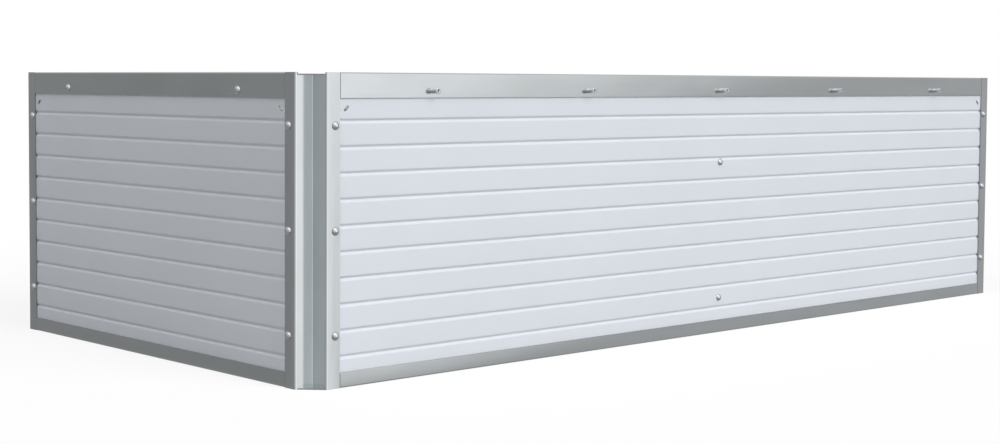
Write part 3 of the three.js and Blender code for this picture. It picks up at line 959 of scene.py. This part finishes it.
stud_height = BED_HEIGHT - CAP_BOLT_DROP
stud_row = [Vector(((i - (STUD_COUNT - 1) / 2) * STUD_SPACING, 0, stud_height)) for i in range(STUD_COUNT)]
stud_places = [(wall_frame(wall) @ place, wall["turn"] * math.pi / 2)
               for wall in LONG_WALLS for place in stud_row]
tie_places = [(Vector((0, 0, (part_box(tie)[0].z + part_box(tie)[1].z) / 2)), 0) for tie in ties]

finished("post_flange_bolts", turned(sheet_bolt(), places_of(post_bolts), stainless, 1), post_bolts)
finished("short_cap_bolts", turned(sheet_bolt(), places_of(cap_bolts), stainless, 2), cap_bolts)
finished("wall_tie_screws", turned(tie_screw(), places_of(tie_screws), stainless, 3), tie_screws)
finished("long_cap_studs", turned(cap_stud(), stud_places, plated, 4), ["front_cap", "back_cap"])
finished("cross_ties", turned(cross_tie(), tie_places, inner_zinc, 5), ties)

# ---------------------------------------------------------------- camera

CAMERA_PLACE = (-2.59146, -2.57305, 0.48729)
CAMERA_HEADING = math.radians(48.147)
CAMERA_PITCH = math.radians(-2.7926)
CAMERA_ROLL = math.radians(0.2745)
FOCAL_LENGTH = 61.2
SENSOR_WIDTH = 36
# The photo's optical centre lies left of and above its middle, by these shares of its width
SHIFT_X, SHIFT_Y = 0.04973, -0.05825

camera_data = bpy.data.cameras.new("camera")
camera_data.sensor_fit = "HORIZONTAL"
camera_data.sensor_width = SENSOR_WIDTH
camera_data.lens = FOCAL_LENGTH
camera_data.shift_x, camera_data.shift_y = SHIFT_X, SHIFT_Y
camera = linked("camera", camera_data)
camera.matrix_world = (
    Matrix.Translation(CAMERA_PLACE)
    @ Matrix.Rotation(CAMERA_HEADING - math.pi / 2, 4, "Z")
    @ Matrix.Rotation(math.pi / 2 + CAMERA_PITCH, 4, "X")
    @ Matrix.Rotation(CAMERA_ROLL, 4, "Z"))
bpy.context.scene.camera = camera

# ---------------------------------------------------------------- studio

AMBIENT = 0.30
LAMPS = {
    "key": {"heading": -78, "height": 34, "spread": 44, "strength": 2.18},
    "overhead": {"heading": -160, "height": 72, "spread": 50, "strength": 0.75},
    "side": {"heading": 172, "height": 45, "spread": 50, "strength": 0.4},
}
FLOOR_TONE = "f4f4f2"
BOUNCE_TONE = "acacaa"
FLOOR_RADIUS = 30.0
FLOOR_SIDES = 96
FADE_START, FADE_END = 1.0, 2.4
FADE_LEAST = 0.8            # the share of the white background in the floor next to the bed


def seen_directly_or_mirrored(tree):
    """1 for camera, glossy and transmission rays, and 0 for the rays that carry light."""
    ray = add(tree, "ShaderNodeLightPath").outputs
    mirrored = math_node(tree, "MAXIMUM", ray["Is Glossy Ray"], ray["Is Transmission Ray"])
    return math_node(tree, "MAXIMUM", ray["Is Camera Ray"], mirrored)


def white_surroundings():
    world = bpy.data.worlds.new("studio")
    world.use_nodes = True
    tree = world.node_tree
    tree.nodes.clear()
    ambient = add(tree, "ShaderNodeBackground", {"Strength": AMBIENT})
    white = add(tree, "ShaderNodeBackground", {"Color": (1, 1, 1, 1), "Strength": 1.0})
    ambient.inputs["Color"].default_value = (1, 1, 1, 1)
    mixed = add(tree, "ShaderNodeMixShader", {
        0: seen_directly_or_mirrored(tree), 1: ambient.outputs[0], 2: white.outputs[0]})
    add(tree, "ShaderNodeOutputWorld", {"Surface": mixed.outputs[0]})
    bpy.context.scene.world = world


def soft_sun(name, heading, height, spread, strength):
    data = bpy.data.lights.new(name, "SUN")
    data.angle = math.radians(spread)
    data.energy = strength
    lamp = linked(name, data)
    lamp.rotation_euler = (math.radians(90 - height), 0, math.radians(heading + 90))


def pale_floor():
    """A pale floor that fades to the white background away from the bed, and keeps its shadow. The
    light that it throws back on the walls is that of a greyer one."""
    material = bpy.data.materials.new("pale_floor")
    material.use_nodes = True
    tree = material.node_tree
    tree.nodes.clear()
    seen = add(tree, "ShaderNodeLightPath").outputs["Is Camera Ray"]
    paint = add(tree, "ShaderNodeBsdfDiffuse", {
        "Color": two_tones(tree, seen, BOUNCE_TONE, FLOOR_TONE, 0.0, 1.0)})
    white = add(tree, "ShaderNodeEmission", {"Color": (1, 1, 1, 1), "Strength": 1.0})
    place = add(tree, "ShaderNodeTexCoord").outputs["Object"]
    away = add(tree, "ShaderNodeVectorMath", {0: place}, operation="LENGTH").outputs["Value"]
    fade = between(tree, away, FADE_LEAST, 1.0, FADE_START, FADE_END)
    share = math_node(tree, "MULTIPLY", fade, seen_directly_or_mirrored(tree))
    mixed = add(tree, "ShaderNodeMixShader", {0: share, 1: paint.outputs[0], 2: white.outputs[0]})
    add(tree, "ShaderNodeOutputMaterial", {"Surface": mixed.outputs[0]})

    def fill(work):
        bmesh.ops.create_circle(work, cap_ends=True, segments=FLOOR_SIDES, radius=FLOOR_RADIUS)

    floor = linked("floor", solid("floor", fill, material))
    floor.visible_glossy = False


# The studio that the metals mirror, as grey levels by heading near the horizon
CARD_LEVELS = [
    (-180, 0.44), (-136, 0.585), (-118, 0.72), (-104, 0.78),   # behind the camera, brighter to its right
    (-84, 1.4), (-60, 1.03),                                   # a large soft light
    (-52, 0.97), (-48, 0.8), (-41.5, 0.62), (-39, 0.41),       # its fading edge
    (-33, 0.435), (20, 0.44),                                  # a grey wall
    (50, 0.3), (132, 0.26), (180, 0.44),                       # a dark side
]
CARD_RADIUS = 60.0
CARD_ROUND, CARD_RINGS = 64, 32
CARD_STRENGTH = 1.4         # the brightest level, by which a ramp's colours are divided
CARD_SLANT = 0.085          # turns that the levels slide for each unit of the sine of the height
LOW_SHARE = 0.94            # of the levels, at the lower end of their band
LOW_SINE = -0.17
SKY_SINES = (0.14, 0.5)
SKY_LEVEL = 0.6
GLOW_LEVEL = 1.0            # a soft light high over the camera's right, on top of the sky
GLOW_HEADING = math.radians(-108)
GLOW_HEIGHT = math.radians(48)
GLOW_FOCUS = 5.0
GROUND_SINES = (-0.42, -0.2)
GROUND_LEVEL = 0.30


def reflection_card():
    """A round grey card about the bed, far off, which only mirror-like rays see."""
    material = bpy.data.materials.new("grey_cards")
    material.use_nodes = True
    tree = material.node_tree
    tree.nodes.clear()
    place = add(tree, "ShaderNodeTexCoord").outputs["Object"]
    direction = add(tree, "ShaderNodeVectorMath", {0: place}, operation="NORMALIZE").outputs["Vector"]
    height = add(tree, "ShaderNodeSeparateXYZ", {"Vector": direction}).outputs["Z"]
    heading = add(tree, "ShaderNodeTexGradient", {"Vector": direction}, gradient_type="RADIAL")
    slide = math_node(tree, "MULTIPLY", height, CARD_SLANT)
    slid = math_node(tree, "SUBTRACT", heading.outputs["Fac"], slide)
    ramp = add(tree, "ShaderNodeValToRGB", {"Fac": slid})
    while len(ramp.color_ramp.elements) < len(CARD_LEVELS):
        ramp.color_ramp.elements.new(1.0)
    for element, (degrees, level) in zip(ramp.color_ramp.elements, CARD_LEVELS):
        element.position = degrees / 360 + 0.5
        element.color = [level / CARD_STRENGTH] * 3 + [1]
    near_horizon = math_node(tree, "MULTIPLY", ramp.outputs["Color"], CARD_STRENGTH)
    level = math_node(tree, "MULTIPLY", near_horizon, between(tree, height, LOW_SHARE, 1.0, LOW_SINE, 0.0))
    sky = between(tree, height, 0.0, 1.0, *SKY_SINES)
    glow_at = (math.cos(GLOW_HEADING) * math.cos(GLOW_HEIGHT),
               math.sin(GLOW_HEADING) * math.cos(GLOW_HEIGHT), math.sin(GLOW_HEIGHT))
    near_glow = add(tree, "ShaderNodeVectorMath", {0: direction, 1: glow_at}, operation="DOT_PRODUCT")
    facing_glow = math_node(tree, "MAXIMUM", near_glow.outputs["Value"], 0.0)
    glow = math_node(tree, "POWER", facing_glow, GLOW_FOCUS)
    overhead = math_node(tree, "ADD", math_node(tree, "MULTIPLY", glow, GLOW_LEVEL), SKY_LEVEL)
    ground = between(tree, height, 1.0, 0.0, *GROUND_SINES)

    def towards(start, end, share):
        return math_node(tree, "ADD", start, math_node(
            tree, "MULTIPLY", share, math_node(tree, "SUBTRACT", end, start)))

    light = add(tree, "ShaderNodeEmission", {
        "Color": (1, 1, 1, 1), "Strength": towards(towards(level, overhead, sky), GROUND_LEVEL, ground)})
    add(tree, "ShaderNodeOutputMaterial", {"Surface": light.outputs[0]})

    def fill(work):
        bmesh.ops.create_uvsphere(work, u_segments=CARD_ROUND, v_segments=CARD_RINGS, radius=CARD_RADIUS)

    card = linked("grey_card", solid("grey_card", fill, material))
    for ray in ("camera", "diffuse", "transmission", "shadow", "volume_scatter"):
        setattr(card, f"visible_{ray}", False)


white_surroundings()
pale_floor()
reflection_card()
for lamp_name, lamp in LAMPS.items():
    soft_sun(lamp_name, **lamp)

bpy.context.scene.view_settings.view_transform = "Standard"
